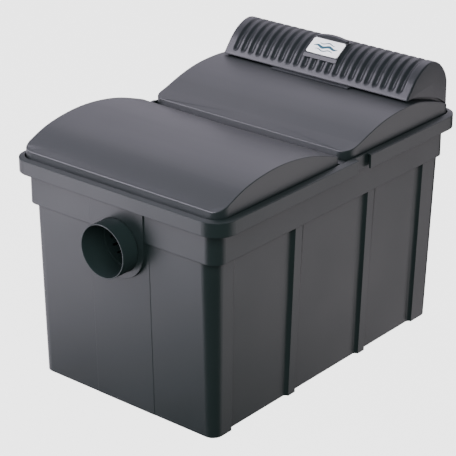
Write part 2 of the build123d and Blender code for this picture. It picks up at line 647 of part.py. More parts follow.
def ridge_points(span, rise):
    """Places (y, z) along the hood's ridge, raised above it, between two shares of its length."""
    outline = Spline([(0, y, z) for y, z in HOOD_TOP])
    points = []
    for step in range(PATH_STEPS + 1):
        share = span[0] + (span[1] - span[0]) * step / PATH_STEPS
        along = outline % share
        place = outline @ share + Vector(0, -along.Z, along.Y) * rise
        points.append((place.Y, place.Z))
    return points


def groove(span):
    """Round-bottomed channel with a round lower end."""
    path = Spline([(0, y, z) for y, z in ridge_points(span, GROOVE_RISE)])
    section = Plane(origin=path @ 0, z_dir=path % 0) * Circle(GROOVE_R)
    return sweep(section, path=path) + Pos(path @ 0) * Sphere(GROOVE_R)


def grooves():
    """The row of channels. The ones below the badge are short."""
    cuts = []
    for column in range(GROOVE_COUNT):
        span = GROOVE_SHORT_SPAN if column in GROOVE_SHORT else GROOVE_SPAN
        cuts.append(Pos((column - (GROOVE_COUNT - 1) / 2) * GROOVE_PITCH, 0, 0) * groove(span))
    return cuts


def vent_hood():
    """Ribbed hood with an inset neck that stands on the rear lid."""
    outline = hood_profile()
    solid = across(outline, HOOD_HALF_X)
    neck_x = HOOD_HALF_X - HOOD_NECK_INSET
    neck_y = (HOOD_TOP[0][0] + HOOD_NECK_INSET, HOOD_REAR_Y - HOOD_NECK_INSET)
    skin = HOOD_NECK_SKIN
    floor_low = across(profile(REAR_LID_TOP, SEAT_TOP, -GAP), HOOD_HALF_X)
    floor_high = across(profile(REAR_LID_TOP, SEAT_TOP, -HOOD_GAP - HOOD_SKIN), HOOD_HALF_X)
    layer = floor_high - floor_low
    solid -= across(profile(ridge_points((0, 1), -HOOD_SKIN), SEAT_TOP), HOOD_HALF_X - HOOD_SKIN) - floor_high
    inner_y = (neck_y[0] + skin, neck_y[1] - skin)
    upright = (TROUGH_FLOOR - 20, TROUGH_FLOOR + 90)
    well = block((skin - neck_x, neck_x - skin), inner_y, upright)
    solid -= well & floor_high
    solid += (block((-neck_x, neck_x), neck_y, upright) - well) & layer
    slot_half = INLET_R + 6
    slot_y = (HOOD_REAR_Y - 3 * HOOD_SKIN, HOOD_REAR_Y + 1)
    slot = block((INLET_X - slot_half, INLET_X + slot_half), slot_y, (TROUGH_FLOOR - 20, INLET_Z))
    slot += rod((INLET_X, slot_y[0], INLET_Z), (0, 1, 0), slot_half, slot_y[1] - slot_y[0])
    return solid - slot - grooves()


def badge_parts():
    """Raised pad on the hood's front slope, its arched lug near the ridge, and the plain plate."""
    sides = [(0, *point) for point in (BADGE_ROOT, BADGE_TOE, BADGE_LOW, BADGE_HIGH, BADGE_BACK)]
    sides.append((0, BADGE_BACK[0], BADGE_ROOT[1]))
    pad = across(make_face(Polyline(sides, close=True)), BADGE_HALF_X)
    ridge_face = Plane(origin=(0, BADGE_HIGH[0], 0), x_dir=(1, 0, 0), z_dir=(0, -1, 0))
    half = BADGE_LUG_HALF_X
    low = BADGE_LUG_TOP - BADGE_LUG_DROP
    root = BADGE_ROOT[1]
    arch = Curve() + [ThreePointArc((-half, low), (0, BADGE_LUG_TOP), (half, low)),
                      Polyline((half, low), (half, root), (-half, root), (-half, low))]
    pad += extrude(ridge_face * make_face(arch), BADGE_HIGH[0] - BADGE_LUG_END_Y)
    pad -= across(hood_profile(), HOOD_HALF_X)
    rise = (BADGE_HIGH[0] - BADGE_LOW[0], BADGE_HIGH[1] - BADGE_LOW[1])
    middle = (0, BADGE_LOW[0] + rise[0] / 2, BADGE_LOW[1] + rise[1] / 2)
    slope = Plane(origin=middle, x_dir=(1, 0, 0), z_dir=(0, -rise[1], rise[0]))
    plate = extrude(slope * RectangleRounded(2 * LABEL_HALF_X, LABEL_HEIGHT, LABEL_CORNER), LABEL_SKIN)
    return {"badge_pad": pad, "badge_label": plate}


def hood_front_tab():
    """Strip on the lid along the hood's front edge."""
    band = across(profile(REAR_LID_TOP, SEAT_TOP, -TAB_RISE), TAB_HALF_X)
    band -= across(profile(REAR_LID_TOP, SEAT_TOP, 0), HOOD_HALF_X)
    return band & block((-TAB_HALF_X, TAB_HALF_X), TAB_Y, (SEAT_TOP, RIM_TOP + 90))


def build():
    """Every node by name."""
    nodes = {"tub": tub(), "lid_support_bar": lid_support_bar()}
    nodes["rear_partition"] = partition(RIB_CENTRES_Y[1], REAR_PARTITION_TOP, REAR_SLOT_ROWS)
    nodes["front_partition"] = partition(RIB_CENTRES_Y[0], FRONT_PARTITION_TOP, FRONT_SLOT_ROWS)
    nodes["foam_guide_rails"] = foam_rails()
    nodes["front_lid"] = front_lid()
    nodes["rear_lid"] = rear_lid()
    nodes["vent_hood"] = vent_hood()
    nodes["hood_front_tab"] = hood_front_tab()
    nodes["ballast_box"] = ballast_box()
    groups = (outlet_parts(), foams(), media_parts(), brush_parts(), drain_parts(), uvc_parts(),
              clamp_parts(), inlet_parts(), spout_parts(), badge_parts())
    for group in groups:
        nodes.update(group)
    return nodes


for name, shape in build().items():
    export_step(shape, f"parts/{name}.step")
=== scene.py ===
import json
import math
import random

import bmesh
import bpy
from mathutils import Matrix, Vector, noise


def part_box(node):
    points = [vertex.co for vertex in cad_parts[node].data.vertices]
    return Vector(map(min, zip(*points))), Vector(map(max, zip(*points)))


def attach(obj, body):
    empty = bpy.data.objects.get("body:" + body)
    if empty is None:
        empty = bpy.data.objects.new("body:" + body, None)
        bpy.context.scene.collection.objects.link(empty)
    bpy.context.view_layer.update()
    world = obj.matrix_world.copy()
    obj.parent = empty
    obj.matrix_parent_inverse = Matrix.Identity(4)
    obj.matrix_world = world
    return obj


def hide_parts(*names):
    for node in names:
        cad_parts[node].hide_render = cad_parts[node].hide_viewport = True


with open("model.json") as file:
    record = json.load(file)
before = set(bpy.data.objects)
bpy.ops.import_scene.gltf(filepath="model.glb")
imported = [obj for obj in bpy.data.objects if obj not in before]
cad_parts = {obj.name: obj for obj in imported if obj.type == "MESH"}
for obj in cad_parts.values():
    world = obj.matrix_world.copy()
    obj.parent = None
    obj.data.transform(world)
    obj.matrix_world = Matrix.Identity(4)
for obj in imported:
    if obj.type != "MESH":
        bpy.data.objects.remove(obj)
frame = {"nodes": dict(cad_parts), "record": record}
NODES = frame["nodes"]
SLOTS = {part["node"]: part["material_slot"] for part in frame["record"]["subparts"]}
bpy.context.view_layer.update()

MM = 0.001
CREASE = math.radians(38)

# Camera: the view's direction, its distance and its lens
AZIMUTH = math.radians(39.73)
ELEVATION = math.radians(23.93)
ROLL = math.radians(0.09)
DISTANCE = 3.8251
LENS = 145.75
AIM = Vector((0.0, 0.0, 0.2))
AIM_RIGHT = -0.02893
AIM_UP = 0.05184

RIGHT = Vector((math.cos(AZIMUTH), math.sin(AZIMUTH), 0))
BACK = Vector((math.sin(AZIMUTH) * math.cos(ELEVATION), -math.cos(AZIMUTH) * math.cos(ELEVATION),
               math.sin(ELEVATION)))
UP = BACK.cross(RIGHT)


# ---------------------------------------------------------------- materials

def new_material(name):
    """An empty node material with its shader and a noise coordinate."""
    mat = bpy.data.materials.new(name)
    mat.use_nodes = True
    nodes = mat.node_tree.nodes
    coords = nodes.new("ShaderNodeTexCoord")
    return mat, nodes, mat.node_tree.links, nodes["Principled BSDF"], coords.outputs["Object"]


def noise_node(nodes, links, coords, scale, detail=3.0, rough=0.5):
    """Noise texture in object space. Scale is in cycles per metre."""
    tex = nodes.new("ShaderNodeTexNoise")
    tex.inputs["Scale"].default_value = scale
    tex.inputs["Detail"].default_value = detail
    tex.inputs["Roughness"].default_value = rough
    links.new(coords, tex.inputs["Vector"])
    return tex.outputs["Fac"]


def ramp(nodes, links, fac, stops):
    """Colour ramp from (place, colour) stops."""
    node = nodes.new("ShaderNodeValToRGB")
    node.color_ramp.elements[0].position = stops[0][0]
    node.color_ramp.elements[0].color = (*stops[0][1], 1)
    node.color_ramp.elements[1].position = stops[-1][0]
    node.color_ramp.elements[1].color = (*stops[-1][1], 1)
    for place, colour in stops[1:-1]:
        node.color_ramp.elements.new(place).color = (*colour, 1)
    links.new(fac, node.inputs["Fac"])
    return node.outputs["Color"]


def spread(nodes, links, fac, low, high):
    """The middle of a noise's range, 0.3 to 0.7, spread between two limits."""
    node = nodes.new("ShaderNodeMapRange")
    node.inputs["From Min"].default_value = 0.3
    node.inputs["From Max"].default_value = 0.7
    node.inputs["To Min"].default_value = low
    node.inputs["To Max"].default_value = high
    links.new(fac, node.inputs["Value"])
    return node.outputs["Result"]


def bump(nodes, links, height, distance, strength, soften=0.0):
    """Fine relief over softened edges."""
    node = nodes.new("ShaderNodeBump")
    node.inputs["Distance"].default_value = distance
    node.inputs["Strength"].default_value = strength
    links.new(height, node.inputs["Height"])
    if soften:
        edge = nodes.new("ShaderNodeBevel")
        edge.samples = 6
        edge.inputs["Radius"].default_value = soften
        links.new(edge.outputs["Normal"], node.inputs["Normal"])
    return node.outputs["Normal"]


def plastic(name, dark, light, rough, grain=2600.0, depth=0.00004, soften=0.0012, patch=5.0, shine=0.5):
    """Moulded plastic: slow patches of colour and sheen, and a fine moulded grain."""
    mat, nodes, links, shader, coords = new_material(name)
    slow = noise_node(nodes, links, coords, patch, 4.0)
    fine = noise_node(nodes, links, coords, grain, 2.0)
    links.new(ramp(nodes, links, slow, [(0.3, dark), (0.7, light)]), shader.inputs["Base Color"])
    links.new(spread(nodes, links, slow, rough[0], rough[1]), shader.inputs["Roughness"])
    links.new(bump(nodes, links, fine, depth, 0.6, soften), shader.inputs["Normal"])
    shader.inputs["Specular IOR Level"].default_value = shine
    return mat


def metal(name, colour, rough):
    """Drawn stainless steel."""
    mat, nodes, links, shader, coords = new_material(name)
    fine = noise_node(nodes, links, coords, 900.0, 3.0)
    links.new(ramp(nodes, links, fine, [(0.3, tuple(c * 0.85 for c in colour)), (0.7, colour)]),
              shader.inputs["Base Color"])
    shader.inputs["Metallic"].default_value = 1.0
    links.new(spread(nodes, links, fine, rough[0], rough[1]), shader.inputs["Roughness"])
    links.new(bump(nodes, links, fine, 0.00003, 0.4), shader.inputs["Normal"])
    return mat


def rubber(name):
    """Matt black rubber."""
    return plastic(name, (0.010, 0.010, 0.010), (0.018, 0.018, 0.018), (0.6, 0.75),
                   grain=1500.0, depth=0.00005)


def glass(name):
    """Clear quartz with faint streaks."""
    mat, nodes, links, shader, coords = new_material(name)
    fine = noise_node(nodes, links, coords, 60.0, 2.0)
    links.new(ramp(nodes, links, fine, [(0.3, (0.86, 0.93, 0.95)), (0.7, (0.95, 0.98, 1.0))]),
              shader.inputs["Base Color"])
    links.new(spread(nodes, links, fine, 0.02, 0.06), shader.inputs["Roughness"])
    shader.inputs["Transmission Weight"].default_value = 0.9
    return mat


def foam(name, dark, light, pores):
    """Open-cell filter foam, with painted shade darkening the middle of each pore."""
    mat, nodes, links, shader, coords = new_material(name)
    cells = nodes.new("ShaderNodeTexVoronoi")
    cells.inputs["Scale"].default_value = pores
    links.new(coords, cells.inputs["Vector"])
    slow = noise_node(nodes, links, coords, 30.0, 5.0, 0.7)
    blend = nodes.new("ShaderNodeMath")
    blend.operation = "MULTIPLY_ADD"
    links.new(cells.outputs["Distance"], blend.inputs[0])
    blend.inputs[1].default_value = -0.9
    links.new(slow, blend.inputs[2])
    # Painted shade: the dark colour fills the middle of each cell, where an open pore would be shaded.
    links.new(ramp(nodes, links, blend.outputs["Value"], [(0.0, light), (0.45, dark)]),
              shader.inputs["Base Color"])
    shader.inputs["Roughness"].default_value = 0.95
    links.new(bump(nodes, links, cells.outputs["Distance"], 0.002, 1.0), shader.inputs["Normal"])
    return mat


TUB = plastic("tub_black", (0.0060, 0.0097, 0.0097), (0.0075, 0.0116, 0.0116), (0.36, 0.42))
LID = plastic("lid_black", (0.0064, 0.0094, 0.0097), (0.0079, 0.0112, 0.0120), (0.38, 0.43), shine=0.75)
HOOD = plastic("hood_black", (0.0075, 0.0097, 0.0112), (0.0094, 0.0120, 0.0139), (0.36, 0.42), shine=0.62)
PIPE = plastic("pipe_grey", (0.0071, 0.0124, 0.0124), (0.0090, 0.0146, 0.0146), (0.34, 0.42), grain=1800.0)
UNIT = plastic("unit_black", (0.0090, 0.0095, 0.0100), (0.0130, 0.0135, 0.0140), (0.42, 0.55), grain=1600.0)
BALLAST = plastic("ballast_grey", (0.070, 0.074, 0.078), (0.085, 0.088, 0.092), (0.40, 0.50))
LABEL = plastic("label_white", (0.90, 0.91, 0.92), (0.95, 0.96, 0.97), (0.22, 0.30),
                grain=900.0, depth=0.00001, soften=0.0006)
CERAMIC = plastic("ceramic_white", (0.68, 0.66, 0.60), (0.78, 0.76, 0.70), (0.25, 0.35), grain=900.0)
LAMP = plastic("lamp_glass", (0.80, 0.84, 0.88), (0.88, 0.90, 0.93), (0.08, 0.14), grain=400.0, depth=0.00001)
NET = plastic("net_bag", (0.20, 0.17, 0.12), (0.42, 0.38, 0.30), (0.6, 0.8),
              grain=700.0, depth=0.0002, soften=0.0, patch=60.0)
BRISTLE = plastic("bristle_green", (0.010, 0.070, 0.030), (0.022, 0.130, 0.060), (0.35, 0.5),
                  grain=600.0, depth=0.00003, soften=0.0, patch=40.0)
MARK = plastic("mark_teal", (0.003, 0.055, 0.09), (0.005, 0.075, 0.12), (0.3, 0.4),
               grain=900.0, depth=0.00001, soften=0.0)
RINGS = plastic("media_rings", (0.30, 0.25, 0.19), (0.52, 0.47, 0.39), (0.7, 0.9),
                grain=420.0, depth=0.0006, soften=0.0, patch=45.0)
MATERIALS = {
    "tub_black": TUB, "lid_black": LID, "hood_black": HOOD, "label_white": LABEL, "pipe_grey": PIPE,
    "rubber": rubber("rubber"), "stainless": metal("stainless", (0.60, 0.61, 0.63), (0.22, 0.36)),
    "unit_black": UNIT, "quartz": glass("quartz"), "lamp_glass": LAMP, "ceramic_white": CERAMIC,
    "ballast_grey": BALLAST, "net_bag": NET, "bristle_green": BRISTLE,
    "foam_black": foam("foam_black", (0.004, 0.004, 0.004), (0.030, 0.030, 0.032), 160.0),
    "foam_blue": foam("foam_blue", (0.006, 0.020, 0.060), (0.030, 0.110, 0.300), 240.0),
    "foam_light": foam("foam_light", (0.040, 0.090, 0.130), (0.160, 0.300, 0.420), 330.0),
}


def repaint():
    """Every CAD node gets the material of its slot in the record."""
    for node, slot in SLOTS.items():
        mesh = NODES[node].data
        mesh.materials.clear()
        mesh.materials.append(MATERIALS[slot])


# ---------------------------------------------------------------- camera and light

def camera():
    """A long lens at the viewing angle."""
    place = AIM + RIGHT * AIM_RIGHT + UP * AIM_UP + BACK * DISTANCE
    data = bpy.data.cameras.new("camera")
    data.lens = LENS
    data.sensor_width = 36.0
    data.clip_end = 100
    eye = bpy.data.objects.new("camera", data)
    bpy.context.collection.objects.link(eye)
    turned_right = RIGHT * math.cos(ROLL) + UP * math.sin(ROLL)
    turned_up = UP * math.cos(ROLL) - RIGHT * math.sin(ROLL)
    axes = Matrix((turned_right, turned_up, BACK)).transposed()
    eye.matrix_world = Matrix.Translation(place) @ axes.to_4x4()
    bpy.context.scene.camera = eye


FLOOR_REACH = 30.0


def floor():
    """Plain glowing floor that only the eye sees, so it puts no light on the object."""
    mesh = bpy.data.meshes.new("floor")
    corners = [(x * FLOOR_REACH, y * FLOOR_REACH, 0) for x, y in ((-1, -1), (1, -1), (1, 1), (-1, 1))]
    mesh.from_pydata(corners, [], [(0, 1, 2, 3)])
    plane = bpy.data.objects.new("floor", mesh)
    bpy.context.collection.objects.link(plane)
    mat = bpy.data.materials.new("floor_paper")
    mat.use_nodes = True
    shader = mat.node_tree.nodes["Principled BSDF"]
    shader.inputs["Base Color"].default_value = (0.12, 0.12, 0.12, 1)
    shader.inputs["Roughness"].default_value = 1.0
    shader.inputs["Specular IOR Level"].default_value = 0.0
    shader.inputs["Emission Color"].default_value = (1, 1, 1, 1)
    shader.inputs["Emission Strength"].default_value = 3.2
    mesh.materials.append(mat)
    plane.visible_diffuse = False
    plane.visible_glossy = False
    plane.visible_transmission = False
    plane.visible_shadow = False


COOL = (1.0, 0.94, 1.07)
BLUE = (1.0, 0.93, 1.10)
PALE = (1.0, 0.92, 0.98)


def softbox(name, place, target, size, radiance, colour):
    """Rectangular light that faces a point. Radiance is its brightness."""
    data = bpy.data.lights.new(name, "AREA")
    data.color = colour
    data.shape = "RECTANGLE"
    data.size, data.size_y = size
    data.energy = radiance * math.pi * size[0] * size[1]
    light = bpy.data.objects.new(name, data)
    bpy.context.collection.objects.link(light)
    light.location = place
    light.rotation_mode = "QUATERNION"
    light.rotation_quaternion = (Vector(target) - Vector(place)).to_track_quat("-Z", "Y")
    return light


def mirrored(point, normal, distance, turn=(0, 0, 0)):
    """The place, a distance away, that a surface at point shows the eye, turned a little."""
    ray = -BACK
    away = ray - 2 * ray.dot(normal) * normal + Vector(turn)
    return Vector(point) + away.normalized() * distance


def lights():
    """Soft panels where the front, right side, lids and hood reflect them, and a fill with no reflection."""
    world = bpy.data.worlds.new("studio")
    bpy.context.scene.world = world
    world.use_nodes = True
    world.node_tree.nodes["Background"].inputs[0].default_value = (0.9, 1.0, 1.0, 1)
    world.node_tree.nodes["Background"].inputs[1].default_value = 0.07
    front = (0, -0.37, 0.38)
    place = mirrored(front, Vector((0, -1, 0)), 1.9, turn=(-0.1, 0, 0.1))
    softbox("front_panel", place, front, (1.5, 1.1), 4.0, COOL)
    side = (0.24, 0.0, 0.35)
    place = mirrored(side, Vector((1, 0, 0)), 1.9, turn=(0, -0.12, 0.03))
    softbox("side_panel", place, side, (1.9, 1.2), 1.38, PALE)
    top = Vector((0, 0, 0.52))
    place = mirrored(top, Vector((0, 0, 1)), 2.4) + RIGHT * 0.4
    softbox("top_panel", place, top, (3.6, 2.6), 0.92, BLUE)
    for name, toward, size, radiance, colour in (("slope_panel", (-0.5, 0.3, 0.8), (2.8, 2.2), 0.86, BLUE),
                                                 ("hood_panel", (-0.6, -0.6, 0.55), (1.8, 1.4), 7.6, BLUE),
                                                 ("rim_panel", (0.0, 0.7, 0.7), (1.2, 1.0), 1.0, COOL)):
        softbox(name, top + Vector(toward) * 2.4, top, size, radiance, colour)
    softbox("rear_panel", (1.4, 2.4, 0.9), (0, 0.3, 0.3), (2.2, 1.4), 0.9, COOL)
    softbox("left_panel", (-2.2, 0.1, -0.6), (-0.2, -0.3, 0.3), (2.6, 1.6), 1.5, COOL)
    fill = softbox("fill", BACK * 3.0 + Vector((0, 0, 0.6)), (0, 0, 0.3), (2.6, 2.6), 11.5, (1, 1, 1))
    fill.visible_glossy = False


# ---------------------------------------------------------------- building blocks

def piece(name, mesh, slot, body, material=None):
    """A shown mesh that rides on a body. Slot is the record's name of its finish, material another look."""
    mesh.materials.clear()
    mesh.materials.append(material or MATERIALS[slot])
    obj = bpy.data.objects.new(name, mesh)
    bpy.context.collection.objects.link(obj)
    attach(obj, body)
    return obj


def mesh_from(name, bm):
    """A bmesh turned into a smooth mesh with crisp edges kept."""
    bmesh.ops.recalc_face_normals(bm, faces=bm.faces)
    mesh = bpy.data.meshes.new(name)
    bm.to_mesh(mesh)
    bm.free()
    mesh.shade_smooth()
    mesh.set_sharp_from_angle(angle=CREASE)
    return mesh


def settled(obj):
    """Turns an object's modifiers into its mesh."""
    graph = bpy.context.evaluated_depsgraph_get()
    mesh = bpy.data.meshes.new_from_object(obj.evaluated_get(graph))
    obj.modifiers.clear()
    obj.data = mesh
    return mesh


def modified(name, mesh, kind, **settings):
    """A mesh after one modifier."""
    obj = bpy.data.objects.new(name, mesh)
    bpy.context.collection.objects.link(obj)
    modifier = obj.modifiers.new(kind, kind)
    for setting, value in settings.items():
        setattr(modifier, setting, value)
    result = settled(obj)
    bpy.data.objects.remove(obj)
    return result


def flattened(node):
    """A CAD node's shape with its flat triangles merged into whole faces."""
    bm = bmesh.new()
    bm.from_mesh(NODES[node].data)
    bm.transform(NODES[node].matrix_world)
    bmesh.ops.remove_doubles(bm, verts=bm.verts, dist=1e-5)
    bmesh.ops.dissolve_limit(bm, angle_limit=math.radians(0.2), verts=bm.verts, edges=bm.edges)
    bm.normal_update()
    return bm


def blend_step(value):
    """Smooth 0 to 1 step."""
    value = min(1.0, max(0.0, value))
    return value * value * (3 - 2 * value)


def along(points, count):
    """A (y, z) path resampled into equal steps. Returns the places and their distances."""
    lengths = [0.0]
    for a, b in zip(points, points[1:]):
        lengths.append(lengths[-1] + math.dist(a, b))
    places, marks = [], []
    index = 0
    for step in range(count):
        want = lengths[-1] * step / (count - 1)
        while index < len(points) - 2 and lengths[index + 1] < want:
            index += 1
        share = (want - lengths[index]) / max(1e-9, lengths[index + 1] - lengths[index])
        a, b = points[index], points[index + 1]
        places.append((a[0] + (b[0] - a[0]) * share, a[1] + (b[1] - a[1]) * share))
        marks.append(want)
    return places, marks


# ---------------------------------------------------------------- lids, rim and outlet

LID_ROLL = 1.5 * MM     # radius of the roll along the lids' top edges
LEAN = 0.34             # slope of their low front and back edges, away from upright
LEAN_REACH = 24 * MM    # how far in the lean fades out
LEAN_END = 34 * MM      # how far from the lid's ends it fades in
RIM_EDGE = 3.7 * MM     # height of the rim's top that slopes
RIM_CORNER = 45 * MM    # radius of the rim's corners
RIM_WIDTH = 12.4 * MM   # width of the sloping top
RIM_FALL = 3.4 * MM     # how much lower it is outside


def lean(bm, node, seat):
    """Leans the lid's low front and back edges inwards, towards their middle."""
    low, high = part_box(node)
    for vert in bm.verts:
        near = min(vert.co.y - low[1], high[1] - vert.co.y)
        if near > LEAN_REACH or vert.co.z < seat:
            continue
        middle = 1 - blend_step((abs(vert.co.x) - high[0] + LEAN_END) / LEAN_END)
        shift = (vert.co.z - seat) * LEAN * (1 - near / LEAN_REACH) * middle
        vert.co.y += shift if vert.co.y < (low[1] + high[1]) / 2 else -shift


def rounded_lid(node, seat):
    """The lid with a roll along its top edge. Seat is the height of the skirt's lower edge."""
    bm = flattened(node)
    chosen = []
    for edge in bm.edges:
        if len(edge.link_faces) != 2:
            continue
        top, side = sorted(edge.link_faces, key=lambda face: -face.normal.z)
        low = min(vert.co.z for vert in side.verts)
        if top.normal.z > 0.6 and abs(side.normal.z) < 0.1 and low < seat + MM:
            chosen.append(edge)
    bmesh.ops.bevel(bm, geom=chosen, offset=LID_ROLL, segments=4, profile=0.5, affect="EDGES",
                    clamp_overlap=False)
    lean(bm, node, seat)
    obj = piece(node + "_shell", mesh_from(node + "_shell", bm), "lid_black", node)
    smooth = obj.modifiers.new("normals", "WEIGHTED_NORMAL")
    smooth.keep_sharp = True
    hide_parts(node)


def crowned_tub():
    """The tub with the top of its rim sloping down to the outside."""
    mesh = NODES["tub"].data.copy()
    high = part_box("tub")[1]
    for vert in mesh.vertices:
        rise = (vert.co.z - high[2] + RIM_EDGE) / RIM_EDGE
        if rise <= 0:
            continue
        out_x = abs(vert.co.x) - high[0] + RIM_CORNER
        out_y = abs(vert.co.y) - high[1] + RIM_CORNER
        inset = RIM_CORNER - math.hypot(max(0, out_x), max(0, out_y))
        vert.co.z -= RIM_FALL * rise * max(0.0, 1 - inset / RIM_WIDTH)
    obj = piece("tub_shell", mesh, "tub_black", "tub")
    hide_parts("tub")


PIPE_COLLAR = 8 * MM    # how far the seal's flange stands out from the pipe
PIPE_WALL = 3.2 * MM
PIPE_NECK = 1 * MM      # how much smaller the pipe is inside the boss
PIPE_STEP = 4.5 * MM    # from the seal to the end of that neck
FLANGE = 4 * MM
PIPE_SIDES = 128


def outlet_spigot():
    """The outlet pipe with its end thinned from the inside, turned from a profile."""
    low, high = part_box("outlet_pipe")
    seal_low, seal_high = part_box("outlet_seal")
    centre_z = (low[2] + high[2]) / 2
    collar = (high[0] - low[0]) / 2
    outer = collar - PIPE_COLLAR
    bore = outer - PIPE_WALL
    neck = outer - PIPE_NECK
    end, inner, seat = low[1], high[1], seal_high[1]
    step = seal_low[1] - PIPE_STEP
    profile = [(bore, inner), (neck, inner), (neck, seat + FLANGE), (collar, seat + FLANGE), (collar, seat),
               (neck, seat), (neck, step), (outer, step), (outer, end + 0.5 * MM), (outer - 0.5 * MM, end),
               (outer - 2.2 * MM, end), (bore + 0.3 * MM, end + 2.5 * MM), (bore, end + 6 * MM)]
    bm = bmesh.new()
    rings = []
    for turn in range(PIPE_SIDES):
        angle = 2 * math.pi * turn / PIPE_SIDES
        across, up = math.cos(angle), math.sin(angle)
        rings.append([bm.verts.new((r * across, y, centre_z + r * up)) for r, y in profile])
    for turn in range(PIPE_SIDES):
        one, two = rings[turn], rings[(turn + 1) % PIPE_SIDES]
        for index in range(len(profile)):
            after = (index + 1) % len(profile)
            bm.faces.new((one[index], one[after], two[after], two[index]))
    obj = piece("outlet_spigot", mesh_from("outlet_spigot", bm), "pipe_grey", "tub")
    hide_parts("outlet_pipe")


LID_END = 232.5 * MM    # beyond this x, only the lids' ends are left


def lid_profile():
    """The rear lid's top at its ends as (y, z) places, front to rear."""
    places = {}
    mesh = NODES["rear_lid"].data
    for face in mesh.polygons:
        if face.normal.z > 0.5:
            for index in face.vertices:
                place = mesh.vertices[index].co
                if abs(place.x) > LID_END:
                    places[round(place.y, 4)] = place.z
    return sorted(places.items())


def height_at(profile, y):
    """The height of a (y, z) profile at y."""
    for a, b in zip(profile, profile[1:]):
        if a[0] <= y <= b[0]:
            return a[1] + (b[1] - a[1]) * (y - a[0]) / max(1e-9, b[0] - a[0])
    return profile[0][1] if y < profile[0][0] else profile[-1][1]


# ---------------------------------------------------------------- hood

HOOD_COLUMNS = 22           # grooves side by side
HOOD_PITCH = 20.4 * MM
HOOD_GROOVE = 7.6 * MM      # half width of a groove
HOOD_DEPTH = 4.0 * MM
HOOD_BADGE = (9, 12)        # first and last groove that stop at the badge
GROOVE_START = 0.074        # shares of the path from front to rear
GROOVE_END = 0.86
GROOVE_BADGE_END = 0.19
HOOD_ROWS = 84              # mesh rows along the path, its underside and across the middle
HOOD_UNDER = 40
HOOD_STRIPS = 276
HOOD_EDGE = 3.2 * MM        # radius of the ends' edges, and its mesh lines as shares
EDGE_LINES = (0, 0.08, 0.3, 0.62, 1)
HOOD_SAG = 5.0 * MM         # how much lower the rear bottom edge hangs, and over what length
SAG_LENGTH = 30 * MM
NECK_INSET = 6 * MM
NECK_REAR_INSET = 3.2 * MM
NECK_STEPS = 24


def hood_paths():
    """Top and bottom paths of the hood's end face, both from front to rear."""
    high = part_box("vent_hood")[1][0]
    points = {(round(vert.co.y, 5), round(vert.co.z, 5))
              for vert in NODES["vent_hood"].data.vertices if abs(vert.co.x - high) < 1e-5}
    front = min(points)
    level = front[1] + 1.4 * MM
    reach = max(points)[0]
    bottom = [(y, z - HOOD_SAG * blend_step(1 - (reach - y) / SAG_LENGTH))
              for y, z in sorted(point for point in points if point[1] < level)]
    top = [front] + sorted(point for point in points if point[1] >= level) + [bottom[-1]]
    return top, bottom


def groove_depth(x, mark, total):
    """How deep the hood's grooves are at x and at a distance along the path."""
    column = round(x / HOOD_PITCH + (HOOD_COLUMNS - 1) / 2)
    column = min(HOOD_COLUMNS - 1, max(0, column))
    centre = (column - (HOOD_COLUMNS - 1) / 2) * HOOD_PITCH
    low = GROOVE_START * total
    high = (GROOVE_BADGE_END if HOOD_BADGE[0] <= column <= HOOD_BADGE[1] else GROOVE_END) * total
    over = max(0.0, low - mark, mark - high)
    reach = math.hypot(x - centre, over * 1.4) / HOOD_GROOVE
    if reach >= 1:
        return 0.0
    return HOOD_DEPTH * (0.5 + 0.5 * math.cos(math.pi * reach)) ** 0.8


def path_normals(places):
    """Outward normals of a (y, z) path."""
    normals = []
    for row in range(len(places)):
        a = places[max(0, row - 1)]
        b = places[min(len(places) - 1, row + 1)]
        size = math.dist(a, b)
        normals.append((-(b[1] - a[1]) / size, (b[0] - a[0]) / size))
    return normals


def hood_skin():
    """Outer skin of the hood with rounded ribs and closed ends, open underneath."""
    top, bottom = hood_paths()
    places, marks = along(top, HOOD_ROWS)
    normals = path_normals(places)
    under, _ = along(bottom, HOOD_UNDER)
    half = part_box("vent_hood")[1][0]
    inner = half - HOOD_EDGE
    left_end = [-half + HOOD_EDGE * share for share in EDGE_LINES]
    middle = [-inner + 2 * inner * step / HOOD_STRIPS for step in range(1, HOOD_STRIPS)]
    columns = left_end + middle + [-x for x in reversed(left_end)]
    bm = bmesh.new()
    grid = []
    for x in columns:
        near = half - abs(x)
        inset = 0.0
        if near < HOOD_EDGE:
            inset = HOOD_EDGE - math.sqrt(max(0.0, HOOD_EDGE ** 2 - (HOOD_EDGE - near) ** 2))
        line = []
        for (y, z), normal, mark in zip(places, normals, marks):
            drop = inset + groove_depth(x, mark, marks[-1])
            line.append(bm.verts.new((x, y - normal[0] * drop, z - normal[1] * drop)))
        grid.append(line)
    for left, right in zip(grid, grid[1:]):
        for row in range(HOOD_ROWS - 1):
            bm.faces.new((left[row], left[row + 1], right[row + 1], right[row]))
    for x, line in ((columns[0], grid[0]), (columns[-1], grid[-1])):
        floor_line = [bm.verts.new((x, y, z)) for y, z in under[1:-1]]
        bm.faces.new(line + list(reversed(floor_line)))
    return mesh_from("hood_skin", bm)


def neck_skin(profile):
    """Inset wall between the hood and the rear lid, following the lid's profile."""
    low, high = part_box("vent_hood")
    half = high[0] - NECK_INSET
    front = low[1] + NECK_INSET
    rear = high[1] - NECK_REAR_INSET
    corners = [(-half, front), (half, front), (half, rear), (-half, rear)]
    loop = []
    for a, b in zip(corners, corners[1:] + corners[:1]):
        for step in range(NECK_STEPS):
            share = step / NECK_STEPS
            loop.append((a[0] + (b[0] - a[0]) * share, a[1] + (b[1] - a[1]) * share))
    bm = bmesh.new()
    rings = []
    for rise in (0.5 * MM, 11 * MM):
        rings.append([bm.verts.new((x, y, height_at(profile, y) + rise)) for x, y in loop])
    for index in range(len(loop)):
        after = (index + 1) % len(loop)
        bm.faces.new((rings[0][index], rings[0][after], rings[1][after], rings[1][index]))
    return mesh_from("hood_neck", bm)


